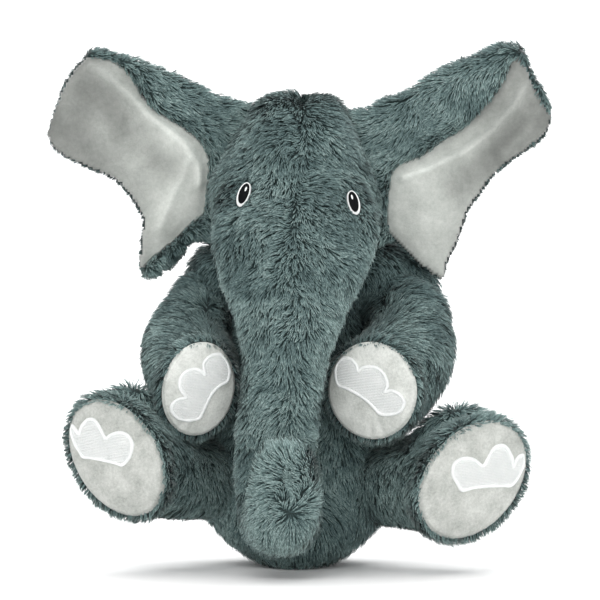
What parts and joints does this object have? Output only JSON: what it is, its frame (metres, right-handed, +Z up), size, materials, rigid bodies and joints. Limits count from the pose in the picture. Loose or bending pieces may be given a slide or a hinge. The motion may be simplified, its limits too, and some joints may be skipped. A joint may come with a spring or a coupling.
{
  "type": "stuffed toy elephant",
  "caption": "Seated plush elephant with shaggy grey fur, velvet ears and soles, embroidered toes and eyes, and a trunk that hangs to the floor with its tip curled up.",
  "frame": {"origin": "middle of the flat seat that the toy rests on", "axes": "+Z up, the toy faces -Y, +X is to the right of someone looking at its face"},
  "size_m": [0.3277, 0.2281, 0.3348],
  "materials": {
    "fur": "shaggy dark grey pile with paler hair tips",
    "tail_fur": "dark grey pile",
    "velvet": "short silver-grey velvet pile",
    "white_thread": "white satin-stitch embroidery",
    "black_thread": "black satin-stitch embroidery",
    "fill": "loose white fibre filling",
    "pellets": "woven bag of pellets"
  },
  "bodies": {
    "torso": {"body_cover_front": "fur", "body_cover_back": "fur", "body_stuffing": "fill", "seat_pellet_bag": "pellets"},
    "head": {"head_cover_left": "fur", "head_cover_right": "fur", "head_stuffing": "fill", "eye_left_white": "white_thread", "eye_left_pupil": "black_thread", "eye_left_glint": "white_thread", "eye_right_white": "white_thread", "eye_right_pupil": "black_thread", "eye_right_glint": "white_thread"},
    "trunk_upper": {"trunk_upper_cover_left": "fur", "trunk_upper_cover_right": "fur", "trunk_upper_stuffing": "fill"},
    "trunk_lower": {"trunk_lower_cover_left": "fur", "trunk_lower_cover_right": "fur", "trunk_lower_stuffing": "fill"},
    "trunk_tip": {"trunk_tip_cover_left": "fur", "trunk_tip_cover_right": "fur", "trunk_tip_stuffing": "fill"},
    "ear_left": {"ear_left_fur_panel": "fur", "ear_left_wadding": "fill", "ear_left_velvet_panel": "velvet"},
    "ear_right": {"ear_right_fur_panel": "fur", "ear_right_wadding": "fill", "ear_right_velvet_panel": "velvet"},
    "arm_left": {"arm_left_cover": "fur", "arm_left_stuffing": "fill", "paw_left_pad": "velvet", "paw_left_toes": "white_thread"},
    "arm_right": {"arm_right_cover": "fur", "arm_right_stuffing": "fill", "paw_right_pad": "velvet", "paw_right_toes": "white_thread"},
    "leg_left": {"leg_left_cover": "fur", "leg_left_stuffing": "fill", "foot_left_pad": "velvet", "foot_left_toes": "white_thread"},
    "leg_right": {"leg_right_cover": "fur", "leg_right_stuffing": "fill", "foot_right_pad": "velvet", "foot_right_toes": "white_thread"},
    "tail": {"tail_cord": "tail_fur", "tail_tuft": "tail_fur"}
  },
  "joints": [
    {"name": "head_nod", "type": "hinge", "parent": "torso", "child": "head", "pos_m": [0, 0.004, 0.16], "axis": [-1, 0, 0], "range_deg": [0, 15], "stiffness_Nm_per_rad": 2},
    {"name": "trunk_lift", "type": "hinge", "parent": "head", "child": "trunk_upper", "pos_m": [-0.005, -0.083, 0.15], "axis": [-1, 0, 0], "range_deg": [0, 30], "stiffness_Nm_per_rad": 0.6},
    {"name": "trunk_sway", "type": "hinge", "parent": "trunk_upper", "child": "trunk_lower", "pos_m": [-0.012, -0.086, 0.084], "axis": [0, 1, 0], "range_deg": [-18, 18], "stiffness_Nm_per_rad": 0.3},
    {"name": "trunk_uncurl", "type": "hinge", "parent": "trunk_lower", "child": "trunk_tip", "pos_m": [-0.009, -0.111, 0.0365], "axis": [1, 0, 0], "range_deg": [0, 45], "stiffness_Nm_per_rad": 0.2},
    {"name": "ear_left_flap", "type": "hinge", "parent": "head", "child": "ear_left", "pos_m": [-0.0495, -0.005, 0.2585], "axis": [0.352, 0, 0.936], "range_deg": [-30, 35], "stiffness_Nm_per_rad": 0.3},
    {"name": "ear_right_flap", "type": "hinge", "parent": "head", "child": "ear_right", "pos_m": [0.05325, -0.005, 0.2585], "axis": [0.3529, 0, -0.9357], "range_deg": [-30, 35], "stiffness_Nm_per_rad": 0.3},
    {"name": "arm_left_lift", "type": "hinge", "parent": "torso", "child": "arm_left", "pos_m": [-0.059, 0.001, 0.165], "axis": [-0.7071, 0, -0.7071], "range_deg": [0, 30], "stiffness_Nm_per_rad": 0.4},
    {"name": "arm_right_lift", "type": "hinge", "parent": "torso", "child": "arm_right", "pos_m": [0.061, 0.001, 0.165], "axis": [-0.7071, 0, 0.7071], "range_deg": [0, 30], "stiffness_Nm_per_rad": 0.4},
    {"name": "leg_left_spread", "type": "hinge", "parent": "torso", "child": "leg_left", "pos_m": [-0.042, -0.012, 0.056], "axis": [0.3552, -0.3603, -0.8626], "range_deg": [0, 14], "stiffness_Nm_per_rad": 0.5},
    {"name": "leg_right_spread", "type": "hinge", "parent": "torso", "child": "leg_right", "pos_m": [0.042, -0.012, 0.053], "axis": [0.3552, 0.3603, 0.8626], "range_deg": [0, 14], "stiffness_Nm_per_rad": 0.5},
    {"name": "tail_swing", "type": "hinge", "parent": "torso", "child": "tail", "pos_m": [0, 0.066, 0.071], "axis": [0, 1, 0], "range_deg": [-35, 35]}
  ]
}
